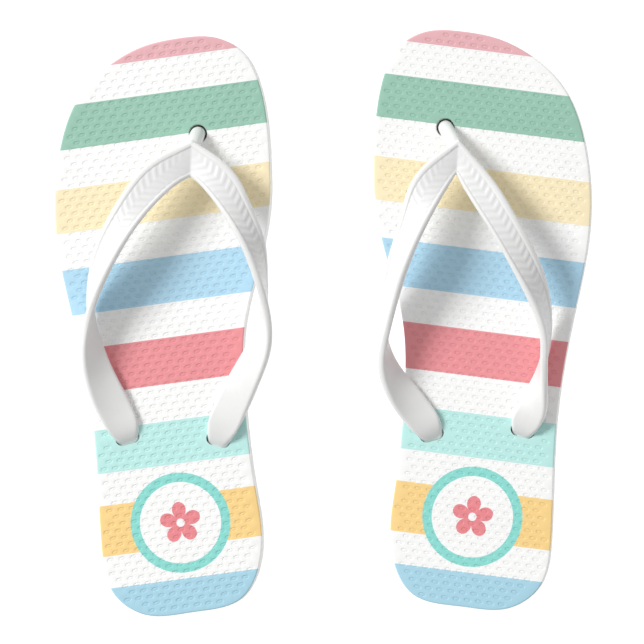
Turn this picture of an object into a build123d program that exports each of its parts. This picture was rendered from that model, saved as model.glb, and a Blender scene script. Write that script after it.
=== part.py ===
"""A pair of flip flops with slim straps, standing side by side.

Each shoe is a laminated sole (rubber outsole, foam midsole, textured footbed sheet) and one moulded
rubber strap: a Y of two flat arms and a toe post, held under the sole by three moulded plugs.

A shoe is drawn in its own frame: heel at the origin, toe along +Y, big toe towards +X, ground at Z = 0.
The right shoe's sole is the left one's mirrored. The soft straps have each settled a little differently,
so each arm has its own route.
"""
import os

from build123d import *

# ---- Sole ------------------------------------------------------------------------------------------
OUTSOLE_THICKNESS = 3.0
MIDSOLE_THICKNESS = 10.0
FOOTBED_THICKNESS = 3.0
MIDSOLE_BOTTOM = OUTSOLE_THICKNESS
FOOTBED_BOTTOM = MIDSOLE_BOTTOM + MIDSOLE_THICKNESS
SOLE_TOP = FOOTBED_BOTTOM + FOOTBED_THICKNESS

# The sole's edge, clockwise seen from above: (across, along).
OUTLINE = [
    (62, 190), (52.5, 156), (41.5, 127), (36.8, 92), (36.2, 55), (33.5, 18), (23, 3.2), (0, 0),
    (-22, 1.8), (-34.5, 12.5), (-37.6, 35), (-34, 88), (-36, 135), (-39, 180), (-32.6, 217), (-20, 241.6),
    (-3.5, 254.6), (13, 260.8), (30, 262.2), (46, 260.2), (57.3, 252), (63, 237), (64.3, 220),
]

# ---- Tread: chevron grooves across the underside, from edge to edge ----------------------------------
GROOVE_DEPTH = 1.2
GROOVE_WIDTH = 2.2
GROOVE_PITCH = 9.0
GROOVE_COUNT = 28
GROOVE_HALF_SPAN = 60.0
GROOVE_RISE = 14.0
GROOVE_CENTRE_AT_HEEL = -1.0
GROOVE_CENTRE_AT_TOE = 13.0
PLUG_PAD_DIAMETER = 27.0

# ---- Plugs, stems and holes --------------------------------------------------------------------------
TOE_HOLE = (32.0, 217.5)
ARM_HOLES = {"lateral": (-19.0, 83.5), "medial": (22.4, 77.0)}
HOLES = [TOE_HOLE, *ARM_HOLES.values()]
TOE_STEM_DIAMETER = 6.0
TOE_EYELET_DIAMETER = 8.4
ARM_STEM_LENGTH = 11.0
ARM_STEM_WIDTH = 6.0
ARM_STEM_TURN = {"lateral": 8.0, "medial": -22.0}
HOLE_CLEARANCE = 0.15
PLUG_DIAMETER = 18.0
PLUG_THICKNESS = 2.4
PLUG_RECESS_DIAMETER = 19.0

# ---- Strap -------------------------------------------------------------------------------------------
# Stations of each arm, from the toe post back to the sole:
# (across, along, height over the footbed, face width, thickness, roll in degrees).
# The outer face looks up at roll 0 and outwards at roll 90, and beyond that the inner face shows.
# The last station of an arm is under the footbed's surface, where the arm is cut off and its stem begins.
SUNK = -3.0
CREASE = {"left": (28.3, 206.2, 13, 16.8, 3.4, 0), "right": (24.3, 204.8, 13, 15.8, 3.4, 0)}
ARMS = {
    "left": {
        "lateral": [
            (15.6, 201.5, 15.5, 15.6, 3.4, 2), (0.1, 189.1, 18.5, 14.8, 3.4, 8),
            (-12.7, 173.7, 18, 14.2, 3.4, 30), (-22.4, 157, 13.5, 14.2, 3.6, 60),
            (-27.7, 142, 9.5, 14.2, 3.7, 90), (-29.1, 125.5, 8, 14.4, 3.7, 130),
            (-26.7, 109.4, 5.5, 15.8, 3.6, 156), (-22.2, 95, 3, 15.8, 3.3, 171),
            (-19.7, 87.4, 1.5, 13.6, 3.2, 178), (-19, 83.5, SUNK, 10.4, 8.4, 180),
        ],
        "medial": [
            (37.4, 197.8, 15.5, 15.4, 3.4, 2), (46.4, 180.5, 18.5, 14.4, 3.4, 25),
            (51.8, 162.5, 18, 13.8, 3.6, 48), (52.9, 146, 13.5, 14.2, 3.7, 80),
            (52.3, 134, 9.5, 14.2, 3.7, 100), (48.2, 118.5, 8, 14, 3.7, 135),
            (39.6, 104.5, 5.5, 15.2, 3.6, 156), (30.5, 91, 3, 15.4, 3.3, 171),
            (24.3, 81, 1.5, 13.4, 3.2, 178), (22.4, 77, SUNK, 10.4, 8.4, 180),
        ],
    },
    "right": {
        "lateral": [
            (13.8, 193.8, 15.5, 13.4, 3.4, 0), (1.4, 178.8, 18.5, 13.8, 3.4, 5),
            (-12.1, 159.8, 18, 13.8, 3.4, 22), (-20.9, 143.3, 13.5, 13.6, 3.6, 54),
            (-25, 128, 9.5, 14, 3.7, 82), (-25.2, 114, 8, 13.6, 3.7, 98),
            (-23.9, 101.5, 5.5, 13.4, 3.6, 136), (-21.8, 92, 3, 14.2, 3.3, 168),
            (-19.7, 86.6, 1.5, 13, 3.2, 178), (-19, 83.5, SUNK, 10.4, 8.4, 180),
        ],
        "medial": [
            (34.2, 192.8, 15.5, 15.4, 3.4, 3), (40.8, 173, 18.5, 15, 3.4, 33),
            (45.2, 155, 18, 14.8, 3.6, 50), (47.9, 138, 13.5, 14.4, 3.6, 60),
            (48.8, 121, 9.5, 14.4, 3.7, 80), (46, 107, 8, 14.8, 3.7, 115), (38.7, 95.5, 5.5, 15, 3.6, 149),
            (30.3, 86.5, 3, 15, 3.3, 169), (24.2, 80, 1.5, 13, 3.2, 178), (22.4, 77, SUNK, 10.4, 8.4, 180),
        ],
    },
}
EDGE_RADIUS = 1.5
TIP_RADIUS = 4.0
POST_LEAN = 4.0
POST_TOP_DIAMETER = 7.0

# ---- How the pair stands -----------------------------------------------------------------------------
TOE_OUT = {"left": 7.75, "right": -6.5}
HEEL = {"left": (-62.0, -1.4), "right": (61.4, 1.4)}


def sole_face():
    return make_face(Spline(*OUTLINE, periodic=True))


def sole_layer(bottom, thickness):
    return extrude(Pos(0, 0, bottom) * sole_face(), thickness)


def disc(centre, diameter, bottom, top):
    return extrude(Pos(*centre, bottom) * Circle(diameter / 2), top - bottom)


def stems(clearance=0.0):
    """The strap's three stems through midsole and footbed, or with clearance the holes they need."""
    shapes = [disc(TOE_HOLE, TOE_STEM_DIAMETER + 2 * clearance, MIDSOLE_BOTTOM, SOLE_TOP)]
    for arm, centre in ARM_HOLES.items():
        slot = SlotOverall(ARM_STEM_LENGTH + 2 * clearance, ARM_STEM_WIDTH + 2 * clearance)
        profile = Pos(*centre, MIDSOLE_BOTTOM) * Rot(0, 0, ARM_STEM_TURN[arm]) * slot
        shapes.append(extrude(profile, SOLE_TOP - MIDSOLE_BOTTOM))
    return shapes


def tread_grooves():
    """Chevrons pointing to the heel, interrupted by a flat pad round each plug."""
    chevron = Polyline(
        (-GROOVE_HALF_SPAN, 0), (0, -GROOVE_RISE), (GROOVE_HALF_SPAN, 0),
        (GROOVE_HALF_SPAN, GROOVE_WIDTH), (0, GROOVE_WIDTH - GROOVE_RISE), (-GROOVE_HALF_SPAN, GROOVE_WIDTH),
        close=True,
    )
    groove = extrude(make_face(chevron), GROOVE_DEPTH)
    pads = [disc(centre, PLUG_PAD_DIAMETER, 0, OUTSOLE_THICKNESS) for centre in HOLES]
    grooves = []
    for i in range(GROOVE_COUNT):
        share = i / (GROOVE_COUNT - 1)
        across = GROOVE_CENTRE_AT_HEEL + share * (GROOVE_CENTRE_AT_TOE - GROOVE_CENTRE_AT_HEEL)
        along = GROOVE_RISE + i * GROOVE_PITCH
        grooves.append(Pos(across, along) * groove - pads)
    return grooves


def outsole():
    recesses = [disc(centre, PLUG_RECESS_DIAMETER, 0, OUTSOLE_THICKNESS) for centre in HOLES]
    return sole_layer(0, OUTSOLE_THICKNESS) - tread_grooves() - recesses


def midsole():
    return sole_layer(MIDSOLE_BOTTOM, MIDSOLE_THICKNESS) - stems(HOLE_CLEARANCE)


def footbed():
    eyelet = disc(TOE_HOLE, TOE_EYELET_DIAMETER, FOOTBED_BOTTOM, SOLE_TOP)
    return sole_layer(FOOTBED_BOTTOM, FOOTBED_THICKNESS) - stems(HOLE_CLEARANCE) - eyelet


def strap_arms(side):
    """Both arms in one: rounded sections square to a route over the foot from one sole hole to the other."""
    stations = [*reversed(ARMS[side]["lateral"]), CREASE[side], *ARMS[side]["medial"]]
    points = [Vector(across, along, SOLE_TOP + height) for across, along, height, *_ in stations]
    last = len(points) - 1
    sections = []
    for i, (_, _, height, width, thickness, roll) in enumerate(stations):
        heading = points[min(i + 1, last)] - points[max(i - 1, 0)]
        tangent = {0: Vector(0, 0, 1), last: Vector(0, 0, -1)}.get(i, heading)
        front_edge = Vector(-heading.Y, heading.X, 0).rotate(Axis((0, 0, 0), tangent), -roll)
        plane = Plane(points[i], x_dir=front_edge, z_dir=tangent)
        radius = TIP_RADIUS if height == SUNK else EDGE_RADIUS
        sections.append(plane * RectangleRounded(width, thickness, radius))
    return split(loft(sections), Plane.XY.offset(SOLE_TOP))


def toe_post(side):
    """The post leans back from its hole to the front half of the crease."""
    across, along, height = CREASE[side][:3]
    base = Pos(*TOE_HOLE, SOLE_TOP) * Circle(TOE_STEM_DIAMETER / 2)
    top = Pos(across, along + POST_LEAN, SOLE_TOP + height) * Circle(POST_TOP_DIAMETER / 2)
    return loft([base, top])


def strap(side):
    plugs = [disc(centre, PLUG_DIAMETER, MIDSOLE_BOTTOM - PLUG_THICKNESS, MIDSOLE_BOTTOM) for centre in HOLES]
    return strap_arms(side) + toe_post(side) + stems() + plugs


def stand(shape, side):
    """Put a shoe, heel first, in its half of the pair, toes turned out."""
    if side == "right":
        shape = mirror(shape, about=Plane.YZ)
    return Pos(*HEEL[side]) * Rot(0, 0, TOE_OUT[side]) * shape


def main():
    os.makedirs("parts", exist_ok=True)
    footprint = Sketch() + [stand(sole_face(), side) for side in HEEL]
    centre = footprint.bounding_box().center()
    sole = {"outsole": outsole(), "midsole": midsole(), "footbed": footbed()}
    for side in HEEL:
        for name, shape in {**sole, "strap": strap(side)}.items():
            node = f"{side}_{name}"
            part = Pos(-centre.X, -centre.Y, 0) * stand(shape, side)
            part.label = node
            export_step(part, f"parts/{node}.step")


main()
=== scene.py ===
"""The looks of a pair of flip flops: printed footbeds with dented grain, foam midsoles, moulded straps.

Shapes are made in each shoe's own frame, in millimetres: (across, along, up), heel at the origin,
toe along +Y, big toe towards +X. stance() takes them to the row frame, in metres.
"""

import math

import bmesh
import bpy
import numpy as np
from mathutils import Matrix, Vector, kdtree
from mathutils.geometry import delaunay_2d_cdt


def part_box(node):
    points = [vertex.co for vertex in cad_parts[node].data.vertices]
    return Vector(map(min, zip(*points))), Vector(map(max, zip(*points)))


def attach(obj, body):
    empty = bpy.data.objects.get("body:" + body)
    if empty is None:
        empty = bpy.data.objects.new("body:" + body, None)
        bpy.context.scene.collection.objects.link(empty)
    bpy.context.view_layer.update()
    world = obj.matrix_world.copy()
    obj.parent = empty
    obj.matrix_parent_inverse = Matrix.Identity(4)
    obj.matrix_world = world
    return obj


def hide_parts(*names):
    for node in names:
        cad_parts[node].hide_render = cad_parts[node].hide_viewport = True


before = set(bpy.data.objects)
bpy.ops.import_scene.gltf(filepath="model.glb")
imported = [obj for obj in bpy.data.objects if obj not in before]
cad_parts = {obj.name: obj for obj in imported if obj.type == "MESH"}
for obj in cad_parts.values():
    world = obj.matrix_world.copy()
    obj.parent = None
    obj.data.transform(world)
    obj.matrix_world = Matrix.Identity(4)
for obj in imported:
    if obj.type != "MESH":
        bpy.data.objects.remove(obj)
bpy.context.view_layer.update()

MM = 0.001
SIDES = ("left", "right")

# ---- How the shoes stand -----------------------------------------------------------------------------
TOE_OUT = {"left": 7.75, "right": -6.5}
TOE_HOLE = (32.0, 217.5)

# ---- Layers of the sole, in mm -----------------------------------------------------------------------
MIDSOLE_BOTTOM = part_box("left_midsole")[0].z / MM
FOOTBED_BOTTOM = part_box("left_footbed")[0].z / MM
SOLE_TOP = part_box("left_footbed")[1].z / MM
OUTLINE_STEP = 0.9
EYELET_STEP = 0.4
LIP_RADIUS = 0.7
EYELET_RADIUS = 0.45
# The footbed's cut wall from its lip down: how far it is drawn in, height over the foam.
FOOTBED_SIDE = [(0.1, 1.6), (0.0, 0.3), (0.3, 0.0)]
# The midsole's wall from the rubber up: how far it is drawn in, height over the rubber.
MIDSOLE_SIDE = [(0.4, 0.0), (0.12, 0.1), (0.0, 0.4), (0.1, 2.0), (0.22, 5.0), (0.1, 8.0), (0.0, 9.6),
                (0.12, 9.9), (0.4, 10.0)]
# How much wider all round the foam's toe hole is than the CAD's, for a deep dark gap by the post.
TOE_HOLE_EASE = 0.8

# ---- Embossed grain: staggered rows of small oval dents ----------------------------------------------
DENT_PITCH = 5.25
DENT_ROW = 3.2
DENT_DEPTH = 0.28
DENT_HALF_SIZE = (1.8, 0.9)
DENT_TURN = 8.0
DENT_MARGIN = 0.12
# Rings of a dent, from outside: share of its size, share of its depth, points. Its middle rises again.
DENT_RINGS = [(1.22, 0.0, 12), (1.04, 0.05, 12), (0.8, 0.95, 12), (0.5, 0.75, 8)]
DENT_MIDDLE = 0.25

# ---- Print -------------------------------------------------------------------------------------------
# How the print lies on each sole, turned about the heel, in degrees. Stripes: where each starts, colour.
PRINT_TURN = {"left": 0.0, "right": 0.7}
WHITE = "#fdfdfc"
STRIPES = [
    (0.0, "#aed9ea"), (15.6, WHITE), (30.5, "#fdd992"), (53.1, WHITE), (68.2, "#c2efea"), (88.3, WHITE),
    (105.1, "#ef999e"), (126.0, WHITE), (142.1, "#b5dcf1"), (163.4, WHITE), (180.1, "#fcedc6"),
    (200.3, WHITE), (217.3, "#9dc9b6"), (237.9, WHITE), (253.6, "#e9b5ba"),
]
PRINT_LENGTH = 270.0
RING_CENTRE = (0.0, 41.5)
RING_RADII = (18.7, 23.0)
RING_COLOUR = "#91dfd6"
FLOWER_COLOUR = "#ee8f95"
FLOWER_PETALS = 5
FLOWER_RADIUS = 9.6

# ---- Strap -------------------------------------------------------------------------------------------
# Stations of each arm, from the toe post back to the sole:
# (across, along, height over the footbed, face width, thickness, roll in degrees).
SUNK = -3.0
CREASE = {"left": (28.3, 206.2, 13, 16.8, 3.4, 0), "right": (24.3, 204.8, 13, 15.8, 3.4, 0)}
ARMS = {
    "left": {
        "lateral": [
            (15.6, 201.5, 15.5, 15.6, 3.4, 2), (0.1, 189.1, 18.5, 14.8, 3.4, 8),
            (-12.7, 173.7, 18, 14.2, 3.4, 30), (-22.4, 157, 13.5, 14.2, 3.6, 60),
            (-27.7, 142, 9.5, 14.2, 3.7, 90), (-29.1, 125.5, 8, 14.4, 3.7, 130),
            (-26.7, 109.4, 5.5, 15.8, 3.6, 156), (-22.2, 95, 3, 15.8, 3.3, 171),
            (-19.7, 87.4, 1.5, 13.6, 3.2, 178), (-19, 83.5, SUNK, 10.4, 8.4, 180),
        ],
        "medial": [
            (37.4, 197.8, 15.5, 15.4, 3.4, 2), (46.4, 180.5, 18.5, 14.4, 3.4, 25),
            (51.8, 162.5, 18, 13.8, 3.6, 48), (52.9, 146, 13.5, 14.2, 3.7, 80),
            (52.3, 134, 9.5, 14.2, 3.7, 100), (48.2, 118.5, 8, 14, 3.7, 135),
            (39.6, 104.5, 5.5, 15.2, 3.6, 156), (30.5, 91, 3, 15.4, 3.3, 171),
            (24.3, 81, 1.5, 13.4, 3.2, 178), (22.4, 77, SUNK, 10.4, 8.4, 180),
        ],
    },
    "right": {
        "lateral": [
            (13.8, 193.8, 15.5, 13.4, 3.4, 0), (1.4, 178.8, 18.5, 13.8, 3.4, 5),
            (-12.1, 159.8, 18, 13.8, 3.4, 22), (-20.9, 143.3, 13.5, 13.6, 3.6, 54),
            (-25, 128, 9.5, 14, 3.7, 82), (-25.2, 114, 8, 13.6, 3.7, 98),
            (-23.9, 101.5, 5.5, 13.4, 3.6, 136), (-21.8, 92, 3, 14.2, 3.3, 168),
            (-19.7, 86.6, 1.5, 13, 3.2, 178), (-19, 83.5, SUNK, 10.4, 8.4, 180),
        ],
        "medial": [
            (34.2, 192.8, 15.5, 15.4, 3.4, 3), (40.8, 173, 18.5, 15, 3.4, 33),
            (45.2, 155, 18, 14.8, 3.6, 50), (47.9, 138, 13.5, 14.4, 3.6, 60),
            (48.8, 121, 9.5, 14.4, 3.7, 80), (46, 107, 8, 14.8, 3.7, 115), (38.7, 95.5, 5.5, 15, 3.6, 149),
            (30.3, 86.5, 3, 15, 3.3, 169), (24.2, 80, 1.5, 13, 3.2, 178), (22.4, 77, SUNK, 10.4, 8.4, 180),
        ],
    },
}
EDGE_RADIUS = 1.5
TIP_RADIUS = 4.0
STRAP_VOXEL = 0.38
SWEEP_STEP = 0.6

# The toe post from under the crease down into the sole: share of the way from the hole back to its top,
# which is POST_BACK ahead of the crease's middle, then height over the footbed and radius.
POST = [(1.0, 11.6, 3.1), (0.86, 11.2, 3.4), (0.66, 9.4, 3.55), (0.46, 7.0, 3.55), (0.28, 4.4, 3.5),
        (0.14, 2.0, 3.5), (0.04, 0.0, 3.45), (0.0, -3.0, 3.3), (0.0, -6.0, 3.05), (0.0, -13.4, 3.0)]
POST_BACK = 3.0
POST_SAMPLES = 60
POST_SIDES = 28

# Smoothing of the moulded skin: a little everywhere, more where post and arms meet.
NECK_AHEAD = 2.5
NECK_HEIGHT = 9.5
NECK_RADIUS = 5.0
NECK_PASSES = 3
NECK_CORE = 0.45
SMOOTH_ALL = 0.1
SMOOTH_NECK = 0.4
SMOOTH_PASSES = 4

# Relief of the arms' outer face: two rims and a sunk panel of herringbone bars.
FRONT_RIM = 2.5
REAR_RIM = 1.5
RIM_SLOPE = 0.55
PANEL_DEPTH = 0.4
BAR_HEIGHT = 0.17
BAR_PITCH = 3.8
BAR_LEAN = 33.0
BARS_START, BARS_FULL = -4.0, 16.0
RELIEF_FULL, RELIEF_END = 95.0, 118.0
BAR_CLEAR, BAR_CLEAR_FULL = 0.6, 1.2
FACE_SHARES = 33
REACH = 2.0
FACE_REACH = 1.2

STEM_OVERLAP = 0.4
PLUG_HOLES = [TOE_HOLE, (-19.0, 83.5), (22.4, 77.0)]
# Radius and height of a plug's outside, from the middle of its underside to the middle of its top.
PLUG_PROFILE = [(0, 0.95), (0.9, 0.95), (1.25, 0.6), (5.0, 0.6), (5.25, 0.82), (6.0, 0.82), (6.25, 0.6),
                (8.3, 0.6), (8.8, 0.78), (9.0, 1.25), (9.0, 3.0), (0, 3.0)]
PLUG_SIDES = 72


# ---- Small helpers -----------------------------------------------------------------------------------
def linear(colour):
    """A #rrggbb colour as the linear red, green, blue, alpha that shaders take."""
    shares = [int(colour[i:i + 2], 16) / 255 for i in (1, 3, 5)]
    return [s / 12.92 if s <= 0.04045 else ((s + 0.055) / 1.055) ** 2.4 for s in shares] + [1.0]


def smoothstep(x, low, high):
    t = np.clip((x - low) / (high - low), 0, 1)
    return t * t * (3 - 2 * t)


def unit(vectors):
    return vectors / np.linalg.norm(vectors, axis=-1, keepdims=True)


def moved(points, matrix):
    """An array of points through a 4x4 matrix."""
    m = np.array(matrix)
    return np.asarray(points, float) @ m[:3, :3].T + m[:3, 3]


# ---- The sole's outline and holes, from the CAD ------------------------------------------------------
def top_loops(node):
    """The loops round the top face of a CAD layer, in the row frame. Its outline is the first."""
    bm = bmesh.new()
    bm.from_mesh(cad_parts[node].data)
    bmesh.ops.remove_doubles(bm, verts=bm.verts, dist=0.01 * MM)
    bm.normal_update()
    rim = [e for e in bm.edges if sum(face.normal.z > 0.9 for face in e.link_faces) == 1]
    waiting = set(rim)
    loops = []
    for edge in rim:
        if edge not in waiting:
            continue
        waiting.remove(edge)
        start, vert = edge.verts
        loop = [start.co.copy()]
        while vert != start:
            loop.append(vert.co.copy())
            edge = next(e for e in vert.link_edges if e in waiting)
            waiting.remove(edge)
            vert = edge.other_vert(vert)
        loops.append(np.array(loop))
    bm.free()
    return sorted(loops, key=lambda points: -np.ptp(points[:, 1]))


def stance(side):
    """From a shoe's own frame in mm to the row frame in metres. The CAD eyelet says where the shoe stands."""
    flip = Matrix.Diagonal((1 if side == "left" else -1, 1, 1, 1))
    placed = Matrix.Scale(MM, 4) @ Matrix.Rotation(math.radians(TOE_OUT[side]), 4, "Z") @ flip
    eyelet = max(top_loops(f"{side}_footbed")[1:], key=lambda points: points[:, 1].max())
    middle = (eyelet.min(0) + eyelet.max(0)) / 2
    start = Vector((middle[0], middle[1], 0)) - placed @ Vector((*TOE_HOLE, 0))
    return Matrix.Translation(start) @ placed


def round_loop(points, step):
    """A closed smooth curve through unevenly spaced points, resampled evenly."""
    after = np.roll(points, -1, axis=0)
    chord = np.linalg.norm(after - points, axis=1)[:, None]
    slope = (after - points) / chord
    chord_before, slope_before = np.roll(chord, 1), np.roll(slope, 1, axis=0)
    heading = (slope_before * chord + slope * chord_before) / (chord + chord_before)
    leave, arrive = heading * chord, np.roll(heading, -1, axis=0) * chord
    t = np.linspace(0, 1, 24, endpoint=False)[:, None, None]
    curve = ((2 * t**3 - 3 * t**2 + 1) * points + (t**3 - 2 * t**2 + t) * leave
             + (3 * t**2 - 2 * t**3) * after + (t**3 - t**2) * arrive)
    dense = curve.transpose(1, 0, 2).reshape(-1, points.shape[1])
    closed = np.vstack([dense, dense[:1]])
    along = np.concatenate([[0], np.cumsum(np.linalg.norm(np.diff(closed, axis=0), axis=1))])
    where = np.linspace(0, along[-1], max(24, round(along[-1] / step)), endpoint=False)
    return np.column_stack([np.interp(where, along, closed[:, k]) for k in range(points.shape[1])])


def inset(loop, distance):
    """A closed loop moved sideways, towards its inside where distance is positive."""
    ahead = np.roll(loop, -1, axis=0) - np.roll(loop, 1, axis=0)
    normal = unit(np.column_stack([-ahead[:, 1], ahead[:, 0]]))
    x, y = loop.T
    area = 0.5 * np.sum(x * np.roll(y, -1) - y * np.roll(x, -1))
    return loop + normal * distance * np.sign(area)


def within(row, across, loop):
    """Which places along a row are inside a closed loop."""
    ends = np.roll(loop, -1, axis=0)
    crossed = (loop[:, 1] > row) != (ends[:, 1] > row)
    start, end = loop[crossed], ends[crossed]
    at = start[:, 0] + (row - start[:, 1]) * (end[:, 0] - start[:, 0]) / (end[:, 1] - start[:, 1])
    return np.searchsorted(np.sort(at), across) % 2 == 1


# ---- Making meshes -----------------------------------------------------------------------------------
class Builder:
    """Collects a piece's points and faces in its shoe's own frame."""

    def __init__(self):
        self.points, self.faces = [], []

    def ring(self, points):
        start = len(self.points)
        self.points.extend(map(tuple, points))
        return list(range(start, len(self.points)))

    def wall(self, a, b):
        """Quads between two closed rings of the same number of points."""
        for i in range(len(a)):
            j = (i + 1) % len(a)
            self.faces.append((a[i], a[j], b[j], b[i]))

    def cap(self, rings, inner=()):
        """Triangles inside the first ring, through the inner points. The other rings are convex holes."""
        members = [i for ring in rings for i in ring] + list(inner)
        flat = [Vector(self.points[i][:2]) for i in members]
        edges, start = [], 0
        for ring in rings:
            edges += [(start + k, start + (k + 1) % len(ring)) for k in range(len(ring))]
            start += len(ring)
        made = delaunay_2d_cdt(flat, edges, [], 2, 1e-7)
        index = [members[origin[0]] for origin in made[3]]
        holes = [set(ring) for ring in rings[1:]]
        for face in made[2]:
            corners = tuple(index[k] for k in face)
            if not any(hole.issuperset(corners) for hole in holes):
                self.faces.append(corners)

    def mesh(self, name, matrix, sharp_angle):
        data = bpy.data.meshes.new(name)
        data.from_pydata(moved(self.points, matrix).tolist(), [], self.faces)
        tidy(data, sharp_angle)
        return data


def tidy(data, sharp_angle):
    """Faces outwards, smooth shading, sharp edges above an angle."""
    bm = bmesh.new()
    bm.from_mesh(data)
    bmesh.ops.recalc_face_normals(bm, faces=bm.faces)
    bm.to_mesh(data)
    bm.free()
    data.shade_smooth()
    data.set_sharp_from_angle(angle=math.radians(sharp_angle))


def piece(name, data, body, node, material):
    """A new piece that stands for a CAD node."""
    obj = bpy.data.objects.new(name, data)
    bpy.context.scene.collection.objects.link(obj)
    obj.data.materials.append(material)
    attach(obj, body)
    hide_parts(node)
    return obj


# ---- Footbed and midsole -----------------------------------------------------------------------------
def turned(points, degrees):
    """Points turned about the heel, clockwise seen from above."""
    turn = math.radians(degrees)
    across, along = points[:, 0], points[:, 1]
    return np.column_stack([
        across * math.cos(turn) + along * math.sin(turn),
        along * math.cos(turn) - across * math.sin(turn),
    ])


def to_print(points, side):
    """Shoe coordinates to the print's."""
    return turned(points, PRINT_TURN[side])


def from_print(points, side):
    return turned(points, -PRINT_TURN[side])


def shoe_loops(side, node):
    """The outline, the eyelet or toe hole, and the arm slots of a layer, in the shoe's own frame."""
    back = np.linalg.inv(np.array(stance(side)))
    loops = [moved(points, back)[:, :2] for points in top_loops(node)]
    outline, *holes = loops
    holes.sort(key=lambda points: -points[:, 1].max())
    return round_loop(outline, OUTLINE_STEP), round_loop(holes[0], EYELET_STEP), holes[1:]


def dents(side, outline, holes):
    """Points of all dents that lie clear of the edge and the holes: (across, along, height)."""
    shape, turn = [(0.0, 0.0, -DENT_DEPTH * DENT_MIDDLE)], math.radians(DENT_TURN)
    for size, depth, count in DENT_RINGS:
        for angle in np.linspace(0, 2 * math.pi, count, endpoint=False):
            x, y = size * DENT_HALF_SIZE[0] * math.cos(angle), size * DENT_HALF_SIZE[1] * math.sin(angle)
            shape.append((x * math.cos(turn) - y * math.sin(turn), x * math.sin(turn) + y * math.cos(turn),
                          -DENT_DEPTH * depth))
    shape = np.array(shape)
    rim = shape[1:1 + DENT_RINGS[0][2]]
    edge = to_print(inset(outline, DENT_MARGIN), side)
    gaps = [to_print(inset(hole, -DENT_MARGIN), side) for hole in holes]
    low, high = edge.min(0), edge.max(0)
    made = []
    for row in range(math.floor(low[1] / DENT_ROW), math.ceil(high[1] / DENT_ROW)):
        along = row * DENT_ROW
        across = np.arange(math.floor(low[0] / DENT_PITCH), high[0] / DENT_PITCH + 1) * DENT_PITCH
        across += DENT_PITCH / 2 * (row % 2)
        keep = np.ones(len(across), bool)
        for x, y, _ in rim:
            keep &= within(along + y, across + x, edge)
            for gap in gaps:
                keep &= ~within(along + y, across + x, gap)
        made += [shape + (x, along, 0) for x in across[keep]]
    points = np.vstack(made)
    return np.column_stack([from_print(points[:, :2], side), points[:, 2]])


def footbed(side):
    """The printed sheet: dented top, rounded lip and eyelet, straight cut edge."""
    outline, eyelet, slots = shoe_loops(side, f"{side}_footbed")
    build = Builder()

    def level(loop, height):
        return build.ring(np.column_stack([loop, np.full(len(loop), height)]))

    def lip(loop, radius, outwards):
        """Rings from the flat top round the edge to the wall."""
        rings = []
        for angle in np.linspace(0, math.pi / 2, 5):
            side_step = outwards * radius * (1 - math.sin(angle))
            rings.append(level(inset(loop, side_step), SOLE_TOP - radius * (1 - math.cos(angle))))
        for a, b in zip(rings, rings[1:]):
            build.wall(a, b)
        return rings[0], rings[-1]

    edge_top, edge = lip(outline, LIP_RADIUS, 1)
    hole_top, hole = lip(eyelet, EYELET_RADIUS, -1)
    slot_tops = [level(points, SOLE_TOP) for points in slots]
    grain = dents(side, inset(outline, LIP_RADIUS), [inset(eyelet, -EYELET_RADIUS), *slots])
    build.cap([edge_top, hole_top, *slot_tops], build.ring(grain + (0, 0, SOLE_TOP)))

    wall = edge
    for step, height in FOOTBED_SIDE:
        lower = level(inset(outline, step), FOOTBED_BOTTOM + height)
        build.wall(wall, lower)
        wall = lower
    lowest = [wall]
    for upper, loop in ((hole, eyelet), *zip(slot_tops, slots)):
        lower = level(loop, FOOTBED_BOTTOM)
        build.wall(upper, lower)
        lowest.append(lower)
    build.cap(lowest)

    data = build.mesh(f"{side}_footbed_sheet", stance(side), 40)
    points = np.array(build.points)
    printed = to_print(points[:, :2], side)
    attribute = data.attributes.new("print_place", "FLOAT_VECTOR", "POINT")
    place = np.column_stack([printed, points[:, 2] - SOLE_TOP]).astype(np.float32)
    attribute.data.foreach_set("vector", place.ravel())
    return data


def midsole(side):
    """The foam slab: soft cut edges and a wall that its own spring draws in a little."""
    outline, toe_hole, slots = shoe_loops(side, f"{side}_midsole")
    build = Builder()
    rings = []
    for step, height in MIDSOLE_SIDE:
        loop = inset(outline, step)
        rings.append(build.ring(np.column_stack([loop, np.full(len(loop), MIDSOLE_BOTTOM + height)])))
    for a, b in zip(rings, rings[1:]):
        build.wall(a, b)
    ends = ([rings[0]], [rings[-1]])
    for loop in (inset(toe_hole, -TOE_HOLE_EASE), *slots):
        pair = [build.ring(np.column_stack([loop, np.full(len(loop), height)]))
                for height in (MIDSOLE_BOTTOM, FOOTBED_BOTTOM)]
        build.wall(*pair)
        for end, ring in zip(ends, pair):
            end.append(ring)
    for end in ends:
        build.cap(end)
    return build.mesh(f"{side}_midsole_foam", stance(side), 40)


# ---- Strap -------------------------------------------------------------------------------------------
def natural_spline(where, values, at):
    """A natural cubic spline through values at the places where, sampled at the places at."""
    where, values = np.asarray(where, float), np.asarray(values, float)
    n, h = len(where), np.diff(where)
    system, right = np.eye(n), np.zeros_like(values)
    for i in range(1, n - 1):
        system[i, i - 1:i + 2] = h[i - 1], 2 * (h[i - 1] + h[i]), h[i]
        right[i] = 6 * ((values[i + 1] - values[i]) / h[i] - (values[i] - values[i - 1]) / h[i - 1])
    bend = np.linalg.solve(system, right)
    i = np.clip(np.searchsorted(where, at) - 1, 0, n - 2)
    a, b = ((where[i + 1] - at) / h[i])[:, None], ((at - where[i]) / h[i])[:, None]
    lift = ((a**3 - a) * bend[i] + (b**3 - b) * bend[i + 1]) * (h[i] ** 2)[:, None] / 6
    return a * values[i] + b * values[i + 1] + lift


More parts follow.
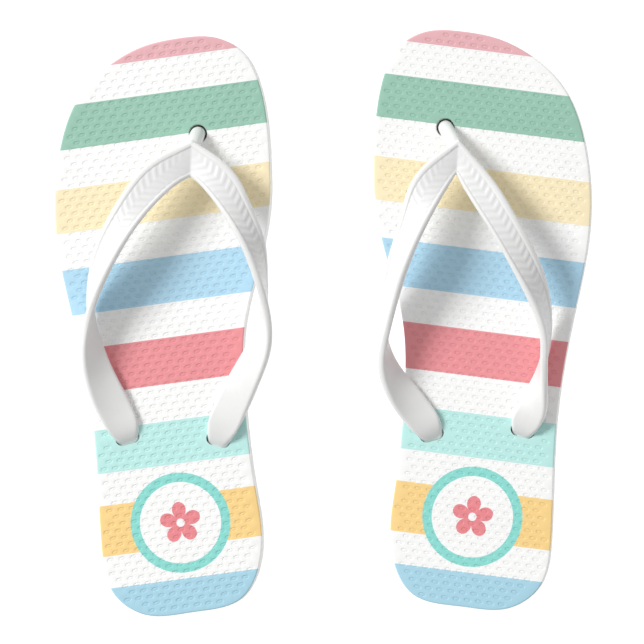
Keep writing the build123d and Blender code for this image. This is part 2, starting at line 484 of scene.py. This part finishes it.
def stations(side):
    """Every station's middle, directions of front edge and outer face, width, thickness, corner radius."""
    table = [*reversed(ARMS[side]["lateral"]), CREASE[side], *ARMS[side]["medial"]]
    middles = np.array([(across, along, SOLE_TOP + height) for across, along, height, *_ in table])
    last = len(table) - 1
    rows = []
    for i, (_, _, height, width, thickness, roll) in enumerate(table):
        heading = middles[min(i + 1, last)] - middles[max(i - 1, 0)]
        tangent = {0: np.array([0, 0, 1.0]), last: np.array([0, 0, -1.0])}.get(i, unit(heading))
        level = unit(np.array([-heading[1], heading[0], 0]))
        over = np.cross(tangent, level)
        turn = math.radians(roll)
        front = level * math.cos(turn) - over * math.sin(turn)
        radius = TIP_RADIUS if height == SUNK else EDGE_RADIUS
        rows.append((middles[i], front, np.cross(tangent, front), width, thickness, radius))
    return rows


def arm_run(rows):
    """An arm's edges, outer direction, thickness and corner radius at close steps, crease first."""
    middles = np.array([row[0] for row in rows])
    where = np.concatenate([[0], np.cumsum(np.linalg.norm(np.diff(middles, axis=0), axis=1))])
    at = np.linspace(0, where[-1], round(where[-1] / SWEEP_STEP))
    front = natural_spline(where, [row[0] + row[1] * row[3] / 2 for row in rows], at)
    rear = natural_spline(where, [row[0] - row[1] * row[3] / 2 for row in rows], at)
    outer = unit(natural_spline(where, [row[2] for row in rows], at))
    thickness = natural_spline(where, [[row[4]] for row in rows], at)[:, 0]
    radius = np.interp(at, where, [row[5] for row in rows])
    across = unit(front - rear)
    outer = unit(outer - (outer * across).sum(1)[:, None] * across)
    return {"at": at, "front": front, "rear": rear, "outer": outer, "thickness": thickness,
            "radius": radius, "first": where[1]}


def section_ring(front, rear, outer, thickness, radius):
    """A rounded rectangle between two edge points."""
    middle, half = (front + rear) / 2, np.linalg.norm(front - rear) / 2
    across = (front - rear) / (2 * half)
    radius = min(radius, thickness / 2 - 0.05)
    points = []
    for corner, (sx, sy) in enumerate(((1, 1), (-1, 1), (-1, -1), (1, -1))):
        for angle in np.radians(np.linspace(corner * 90, corner * 90 + 90, 7)):
            x = sx * (half - radius) + radius * math.cos(angle)
            y = sy * (thickness / 2 - radius) + radius * math.sin(angle)
            points.append(middle + across * x + outer * y)
    return points


def strap_body(side, runs):
    """Both arms in one tube, from plug to plug, and the toe post, as overlapping closed shells."""
    build = Builder()
    lateral, medial = runs
    samples = [(lateral, i) for i in reversed(range(len(lateral["at"])))]
    samples += [(medial, i) for i in range(1, len(medial["at"]))]
    rings = []
    for run, i in samples:
        section = (run[key][i] for key in ("front", "rear", "outer", "thickness", "radius"))
        rings.append(section_ring(*section))
    sunk = SOLE_TOP + SUNK - MIDSOLE_BOTTOM + STEM_OVERLAP
    down = np.array([0, 0, -sunk])
    rings = [[p + down for p in rings[0]], *rings, [p + down for p in rings[-1]]]
    close_tube(build, rings)

    base = np.array([*TOE_HOLE])
    top = np.array(CREASE[side][:2]) + [0, POST_BACK]
    share, height, radius = np.array(POST).T
    where = np.concatenate([[0], np.cumsum(np.hypot(np.diff(share) * 9, np.diff(height)))])
    at = np.linspace(0, where[-1], POST_SAMPLES)
    route = np.column_stack([base + share[:, None] * (top - base), SOLE_TOP + height])
    middle = natural_spline(where, route, at)
    radii = natural_spline(where, radius[:, None], at)[:, 0]
    tangent = unit(np.gradient(middle, axis=0))
    rings = []
    for point, direction, r in zip(middle, tangent, radii):
        x = unit(np.cross([1, 0, 0], direction))
        y = np.cross(direction, x)
        rings.append([point + r * (x * math.cos(a) + y * math.sin(a))
                      for a in np.linspace(0, 2 * math.pi, POST_SIDES, endpoint=False)])
    close_tube(build, rings)
    return build


def close_tube(build, rings):
    indices = [build.ring(ring) for ring in rings]
    for a, b in zip(indices, indices[1:]):
        build.wall(a, b)
    build.faces.append(tuple(reversed(indices[0])))
    build.faces.append(tuple(indices[-1]))


def remeshed(build, voxel):
    """One closed skin round all shells: (points, quads) in mm."""
    data = bpy.data.meshes.new("skin")
    data.from_pydata([tuple(p) for p in build.points], [], build.faces)
    tidy(data, 180)
    obj = bpy.data.objects.new("skin", data)
    bpy.context.scene.collection.objects.link(obj)
    modifier = obj.modifiers.new("remesh", "REMESH")
    modifier.mode = "VOXEL"
    modifier.voxel_size = voxel
    bpy.context.view_layer.update()
    made = obj.evaluated_get(bpy.context.evaluated_depsgraph_get()).to_mesh()
    points = np.empty(len(made.vertices) * 3)
    made.vertices.foreach_get("co", points)
    faces = [tuple(face.vertices) for face in made.polygons]
    bpy.data.objects.remove(obj)
    bpy.data.meshes.remove(data)
    return points.reshape(-1, 3), faces


def relaxed(points, faces, weight, passes):
    """Each point drawn towards its neighbours' mean, by its weight."""
    pairs = np.array([(f[k], f[(k + 1) % len(f)]) for f in faces for k in range(len(f))])
    count = np.zeros(len(points))
    np.add.at(count, pairs[:, 0], 1)
    for _ in range(passes):
        total = np.column_stack([
            np.bincount(pairs[:, 0], points[pairs[:, 1], k], len(points)) for k in range(3)
        ])
        points = points + (total / count[:, None] - points) * weight[:, None]
    return points


def point_normals(points, faces):
    quads = np.array([f if len(f) == 4 else (*f, f[-1]) for f in faces])
    normal = np.cross(points[quads[:, 2]] - points[quads[:, 0]], points[quads[:, 3]] - points[quads[:, 1]])
    total = np.zeros_like(points)
    for k in range(4):
        np.add.at(total, quads[:, k], normal)
    return unit(total)


def relief(points, normals, runs):
    """How far each point of the outer face sinks. Rims stay, and bars stand on the sunk panel between."""
    depth = np.zeros(len(points))
    nearest = np.full(len(points), np.inf)
    for run in runs:
        limit = run["at"] < RELIEF_END + 4
        front, rear, outer = (run[key][limit] for key in ("front", "rear", "outer"))
        at, thickness = run["at"][limit], run["thickness"][limit]
        width = np.linalg.norm(front - rear, axis=1)
        across = (front - rear) / width[:, None]
        shares = np.linspace(0, 1, FACE_SHARES)
        surface = rear[:, None] + shares[:, None] * (front - rear)[:, None]
        surface = surface + outer[:, None] * thickness[:, None, None] / 2
        tree = kdtree.KDTree(surface.shape[0] * surface.shape[1])
        flat = surface.reshape(-1, 3)
        for i, p in enumerate(flat):
            tree.insert(p, i)
        tree.balance()
        near = np.flatnonzero(((points > flat.min(0) - REACH) & (points < flat.max(0) + REACH)).all(1))
        found = [tree.find(p) for p in points[near]]
        index = np.array([f[1] for f in found])
        gap = np.array([f[2] for f in found])
        i = index // len(shares)
        spot, facing = points[near], normals[near]
        offset = spot - flat[index]
        q = (1 - shares[index % len(shares)]) * width[i] - (offset * across[i]).sum(1)
        onwards = np.gradient(front + rear, axis=0)
        onwards = unit(onwards - (onwards * across).sum(1)[:, None] * across)
        s = at[i] + (offset * onwards[i]).sum(1)

        # Bars follow the arm as a straight strip, which the crease cuts at a slant.
        k = int(np.searchsorted(at, run["first"]))
        from_station = spot - (front[k] + rear[k]) / 2
        blend = smoothstep(s, 0.6 * run["first"], 1.4 * run["first"])
        bar_s = (at[k] + from_station @ onwards[k]) * (1 - blend) + s * blend
        bar_v = (from_station @ across[k]) * (1 - blend) + (width[i] / 2 - q) * blend

        to_rear = width[i] - q
        panel = smoothstep(q, FRONT_RIM, FRONT_RIM + RIM_SLOPE)
        panel *= smoothstep(to_rear, REAR_RIM, REAR_RIM + RIM_SLOPE)
        phase = (bar_s + np.abs(bar_v) * math.tan(math.radians(BAR_LEAN))) / BAR_PITCH
        bars = smoothstep(0.5 + 0.5 * np.cos(2 * math.pi * phase), 0.25, 0.75)
        bars *= smoothstep(s, BARS_START, BARS_FULL)
        bars *= smoothstep(q, FRONT_RIM + BAR_CLEAR, FRONT_RIM + BAR_CLEAR_FULL)
        bars *= smoothstep(to_rear, REAR_RIM + BAR_CLEAR, REAR_RIM + BAR_CLEAR_FULL)
        fade = 1 - smoothstep(s, RELIEF_FULL, RELIEF_END)
        face = smoothstep((facing * outer[i]).sum(1), 0.2, 0.6)
        sunk = (PANEL_DEPTH - BAR_HEIGHT * bars) * panel * fade * face
        closer = gap < nearest[near]
        depth[near[closer]] = sunk[closer]
        nearest[near[closer]] = gap[closer]
    return np.where(nearest < FACE_REACH, depth, 0)


def plug(build, centre):
    """A round moulded plug under the sole, turned from its profile."""
    angles = np.linspace(0, 2 * math.pi, PLUG_SIDES, endpoint=False)
    rings = []
    for radius, height in PLUG_PROFILE[1:-1]:
        rings.append(build.ring([(centre[0] + radius * math.cos(a), centre[1] + radius * math.sin(a), height)
                                 for a in angles]))
    for a, b in zip(rings, rings[1:]):
        build.wall(a, b)
    for ring, (_, height) in ((rings[0], PLUG_PROFILE[0]), (rings[-1], PLUG_PROFILE[-1])):
        tip = len(build.points)
        build.points.append((*centre, height))
        build.faces.extend((ring[i], ring[(i + 1) % len(ring)], tip) for i in range(len(ring)))


def strap(side):
    """The moulded strap: arms and post in one skin, with its relief, and the plugs."""
    rows = stations(side)
    middle = len(ARMS[side]["lateral"])
    runs = [arm_run(rows[:middle + 1][::-1]), arm_run(rows[middle:])]
    points, faces = remeshed(strap_body(side, runs), STRAP_VOXEL)
    crease = CREASE[side]
    neck = np.array([(crease[0] + TOE_HOLE[0]) / 2, (crease[1] + TOE_HOLE[1]) / 2 + NECK_AHEAD,
                     SOLE_TOP + NECK_HEIGHT])
    away = np.linalg.norm(points - neck, axis=1)
    near = 1 - smoothstep(away, NECK_CORE * NECK_RADIUS, NECK_RADIUS)
    points = relaxed(points, faces, SMOOTH_ALL + SMOOTH_NECK * near, SMOOTH_PASSES)
    points = relaxed(points, faces, 0.5 * near, NECK_PASSES)
    normals = point_normals(points, faces)
    depth = relief(points, normals, runs)
    points = points - normals * depth[:, None]
    build = Builder()
    build.points, build.faces = [tuple(p) for p in points], list(faces)
    for centre in PLUG_HOLES:
        plug(build, centre)
    data = build.mesh(f"{side}_strap_moulding", stance(side), 50)
    # How far each point sinks, as a share of the panel's depth; the rubber's colour paints shade from it.
    attribute = data.attributes.new("sunk", "FLOAT", "POINT")
    values = np.zeros(len(build.points), np.float32)
    values[:len(depth)] = depth / PANEL_DEPTH
    attribute.data.foreach_set("value", values)
    return data


# ---- Materials ---------------------------------------------------------------------------------------
class Shader:
    """A material's node tree, with short ways to add and join nodes."""

    def __init__(self, name, roughness, specular=0.5):
        self.material = bpy.data.materials.new(name)
        self.material.use_nodes = True
        self.tree = self.material.node_tree
        self.surface = self.tree.nodes["Principled BSDF"]
        self.surface.inputs["Roughness"].default_value = roughness
        self.surface.inputs["Specular IOR Level"].default_value = specular

    def node(self, kind, **settings):
        made = self.tree.nodes.new(kind)
        for key, value in settings.items():
            setattr(made, key, value)
        return made

    def join(self, source, target):
        self.tree.links.new(source, target)

    def math(self, operation, *values):
        made = self.node("ShaderNodeMath", operation=operation)
        self.fill(made, values)
        return made.outputs[0]

    def fill(self, made, values):
        for socket, value in zip(made.inputs, values):
            if isinstance(value, (int, float)):
                socket.default_value = value
            else:
                self.join(value, socket)

    def mix(self, share, first, second):
        """Colour mix: share 0 gives the first."""
        made = self.node("ShaderNodeMix", data_type="RGBA")
        for name, value in (("Factor_Float", share), ("A_Color", first), ("B_Color", second)):
            socket = next(s for s in made.inputs if s.identifier == name)
            if isinstance(value, (int, float, list, tuple)):
                socket.default_value = value
            else:
                self.join(value, socket)
        return next(s for s in made.outputs if s.identifier == "Result_Color")

    def place(self):
        """Where on the piece: its own mesh coordinates, in metres."""
        return self.node("ShaderNodeTexCoord").outputs["Object"]

    def noise(self, per_metre, detail=3.0, roughness=0.5):
        made = self.node("ShaderNodeTexNoise")
        made.inputs["Scale"].default_value = per_metre
        made.inputs["Detail"].default_value = detail
        made.inputs["Roughness"].default_value = roughness
        self.join(self.place(), made.inputs["Vector"])
        return made.outputs["Fac"]

    def ranged(self, value, low, high, to_low=0.0, to_high=1.0):
        made = self.node("ShaderNodeMapRange")
        made.interpolation_type = "SMOOTHSTEP"
        for name, number in (("From Min", low), ("From Max", high), ("To Min", to_low), ("To Max", to_high)):
            made.inputs[name].default_value = number
        self.join(value, made.inputs["Value"])
        return made.outputs["Result"]

    def bump(self, height, depth_mm, strength=1.0):
        made = self.node("ShaderNodeBump")
        made.inputs["Strength"].default_value = strength
        made.inputs["Distance"].default_value = depth_mm * MM
        self.join(height, made.inputs["Height"])
        self.join(made.outputs["Normal"], self.surface.inputs["Normal"])

    def colour(self, source):
        self.join(source, self.surface.inputs["Base Color"])

    def rough(self, source):
        self.join(source, self.surface.inputs["Roughness"])


def print_material():
    """Matt printed sheet: stripes, ring and flower by formula over the print's own coordinates."""
    s = Shader("footbed_print", 0.6, 0.3)
    place = s.node("ShaderNodeAttribute", attribute_name="print_place").outputs["Vector"]
    parts = s.node("ShaderNodeSeparateXYZ")
    s.join(place, parts.inputs[0])
    across, along, height = parts.outputs

    ramp = s.node("ShaderNodeValToRGB")
    ramp.color_ramp.interpolation = "CONSTANT"
    stops = ramp.color_ramp.elements
    while len(stops) < len(STRIPES):
        stops.new(1.0)
    for stop, (start, colour) in zip(stops, STRIPES):
        stop.position = start / PRINT_LENGTH
        stop.color = linear(colour)
    s.join(s.math("DIVIDE", along, PRINT_LENGTH), ramp.inputs["Fac"])

    x = s.math("SUBTRACT", across, RING_CENTRE[0])
    y = s.math("SUBTRACT", along, RING_CENTRE[1])
    radius = s.math("SQRT", s.math("ADD", s.math("MULTIPLY", x, x), s.math("MULTIPLY", y, y)))
    angle = s.math("ARCTAN2", x, y)
    petal = s.math("ABSOLUTE", s.math("COSINE", s.math("MULTIPLY", angle, FLOWER_PETALS / 2)))
    reach = s.math("MULTIPLY_ADD", s.math("POWER", petal, 0.6), FLOWER_RADIUS * 0.62, FLOWER_RADIUS * 0.38)
    soft = 0.08
    in_ring = s.ranged(radius, RING_RADII[1] - soft, RING_RADII[1] + soft, 1, 0)
    in_disc = s.ranged(radius, RING_RADII[0] - soft, RING_RADII[0] + soft, 1, 0)
    in_flower = s.ranged(s.math("SUBTRACT", reach, radius), -soft, soft)
    eye = s.ranged(radius, 1.9 - soft, 1.9 + soft)
    inked = s.mix(in_ring, ramp.outputs["Color"], linear(RING_COLOUR))
    inked = s.mix(in_disc, inked, linear(WHITE))
    inked = s.mix(s.math("MULTIPLY", in_flower, eye), inked, linear(FLOWER_COLOUR))

    # The print stops at the cut edge. In the dents its colour is darkened as painted shade.
    face = s.ranged(height, -1.0, -0.55)
    foam = s.mix(s.noise(900), linear("#f4f4f2"), linear("#fdfdfd"))
    inked = s.mix(face, foam, inked)
    shade = s.node("ShaderNodeHueSaturation")
    blotch = s.ranged(s.noise(60, 4), 0.3, 0.7, 0.985, 1.01)
    # Painted shade: the colour darkens towards the bottom of each dent.
    painted_dent_shade = s.ranged(height, -0.26, -0.04, 0.96, 1.0)
    s.join(s.math("MULTIPLY", blotch, painted_dent_shade), shade.inputs["Value"])
    s.join(inked, shade.inputs["Color"])
    s.colour(shade.outputs["Color"])
    s.rough(s.ranged(s.noise(1500, 2), 0.3, 0.7, 0.52, 0.68))
    s.bump(s.noise(3000, 2), 0.05, 0.25)
    return s.material


def foam_material():
    """White foam, cut: fine open pores and a faint mottle; its light grey is painted shade for the sole's
    side wall.
    """
    s = Shader("midsole_foam", 0.75, 0.25)
    pores = s.node("ShaderNodeTexVoronoi")
    pores.inputs["Scale"].default_value = 1400
    s.join(s.place(), pores.inputs["Vector"])
    # Painted shade: light grey rather than white, darker than the sheet's cut edge, standing for the shade on
    # the side wall.
    s.colour(s.mix(s.ranged(s.noise(120, 4), 0.3, 0.7), linear("#e3e3e1"), linear("#ebebea")))
    s.bump(s.ranged(pores.outputs["Distance"], 0.0, 0.5), 0.12, 0.5)
    s.rough(s.ranged(s.noise(400), 0.3, 0.7, 0.68, 0.82))
    return s.material


def outsole_material():
    """White rubber tread: satin, faintly mottled, a little scuffed on the ground side."""
    s = Shader("outsole_rubber", 0.5, 0.4)
    normal = s.node("ShaderNodeNewGeometry").outputs["Normal"]
    parts = s.node("ShaderNodeSeparateXYZ")
    s.join(normal, parts.inputs[0])
    down = s.ranged(s.math("MULTIPLY", parts.outputs["Z"], -1), 0.5, 0.95)
    scuffs = s.math("MULTIPLY", down, s.ranged(s.noise(90, 6, 0.65), 0.5, 0.72))
    clean = s.mix(s.ranged(s.noise(150, 3), 0.3, 0.7), linear("#eeeeec"), linear("#f7f7f6"))
    s.colour(s.mix(s.math("MULTIPLY", scuffs, 0.35), clean, linear("#b9b7b2")))
    s.rough(s.ranged(s.noise(700, 2), 0.3, 0.7, 0.42, 0.6))
    s.bump(s.noise(1800, 3), 0.08, 0.4)
    return s.material


def strap_material():
    """White moulded rubber: satin, very finely textured, with painted shade that greys the sunk panel."""
    s = Shader("strap_rubber", 0.45, 0.45)
    sunk = s.node("ShaderNodeAttribute", attribute_name="sunk").outputs["Fac"]
    even = s.mix(s.ranged(s.noise(80, 3), 0.3, 0.7), linear("#e9e9e8"), linear("#ededec"))
    # Painted shade: the colour goes greyer where the panel sinks.
    s.colour(s.mix(s.math("MULTIPLY", sunk, 0.35), even, linear("#dfdfe0")))
    s.rough(s.ranged(s.noise(900, 2), 0.3, 0.7, 0.36, 0.5))
    s.bump(s.noise(2600, 2), 0.04, 0.25)
    s.surface.inputs["Subsurface Weight"].default_value = 0.15
    s.surface.inputs["Subsurface Radius"].default_value = (0.002, 0.002, 0.002)
    return s.material


# ---- Camera, light and floor -------------------------------------------------------------------------
CAMERA_LENS = 600.0
CAMERA_TARGET = (-0.00015, 0.0006, 0.016)
CAMERA_SLANT = 0.061
CAMERA_DISTANCE = 4.927
KEY_TOWARDS = (-1.083, 0.625, 1.0)
KEY_DISTANCE = 6.0
KEY_SIZE = 2.2
KEY_ENERGY = 288.0
FILL_STRENGTH = 0.5
FLOOR_HALF_SIZE = 4.0
FLOOR_DROP = 0.0002
FLOOR_GREY = 0.3
FLOOR_GLOW = 0.9


def add_camera():
    data = bpy.data.cameras.new("camera")
    data.lens = CAMERA_LENS
    camera = bpy.data.objects.new("camera", data)
    back = Vector((CAMERA_SLANT, 0, 1)).normalized()
    right = Vector((1, 0, 0)) - back * back.x
    right.normalize()
    axes = Matrix((right, back.cross(right), back)).transposed()
    place = Vector(CAMERA_TARGET) + back * CAMERA_DISTANCE
    camera.matrix_world = Matrix.Translation(place) @ axes.to_4x4()
    bpy.context.scene.collection.objects.link(camera)
    bpy.context.scene.camera = camera


def add_light(name, towards, distance, size, energy):
    data = bpy.data.lights.new(name, "AREA")
    data.shape = "DISK"
    data.size = size
    data.energy = energy
    light = bpy.data.objects.new(name, data)
    back = Vector(towards).normalized()
    light.location = back * distance
    light.rotation_euler = (-back).to_track_quat("-Z", "Y").to_euler()
    bpy.context.scene.collection.objects.link(light)


def add_floor():
    bm = bmesh.new()
    bmesh.ops.create_grid(bm, x_segments=1, y_segments=1, size=FLOOR_HALF_SIZE)
    data = bpy.data.meshes.new("floor")
    bm.to_mesh(data)
    bm.free()
    floor = bpy.data.objects.new("floor", data)
    floor.location.z = -FLOOR_DROP
    bpy.context.scene.collection.objects.link(floor)
    s = Shader("floor", 0.9, 0.0)
    s.surface.inputs["Base Color"].default_value = (FLOOR_GREY, FLOOR_GREY, FLOOR_GREY, 1)
    s.surface.inputs["Emission Color"].default_value = (1, 1, 1, 1)
    s.surface.inputs["Emission Strength"].default_value = FLOOR_GLOW
    data.materials.append(s.material)


def add_world():
    world = bpy.data.worlds.new("studio")
    world.use_nodes = True
    background = world.node_tree.nodes["Background"]
    background.inputs["Color"].default_value = (1, 1, 1, 1)
    background.inputs["Strength"].default_value = FILL_STRENGTH
    bpy.context.scene.world = world
    bpy.context.scene.view_settings.view_transform = "Standard"


# ---- The pair ----------------------------------------------------------------------------------------
def main():
    add_camera()
    add_world()
    add_light("key", KEY_TOWARDS, KEY_DISTANCE, KEY_SIZE, KEY_ENERGY)
    add_floor()
    printed, foam, tread, rubber = print_material(), foam_material(), outsole_material(), strap_material()
    for side in SIDES:
        body = f"{side}_shoe"
        sheet = piece(f"{side}_footbed_sheet", footbed(side), body,
                      f"{side}_footbed", printed)
        slab = piece(f"{side}_midsole_foam", midsole(side), body,
                     f"{side}_midsole", foam)
        piece(f"{side}_strap_moulding", strap(side), body, f"{side}_strap", rubber)
        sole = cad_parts[f"{side}_outsole"]
        sole.data.materials.clear()
        sole.data.materials.append(tread)


main()
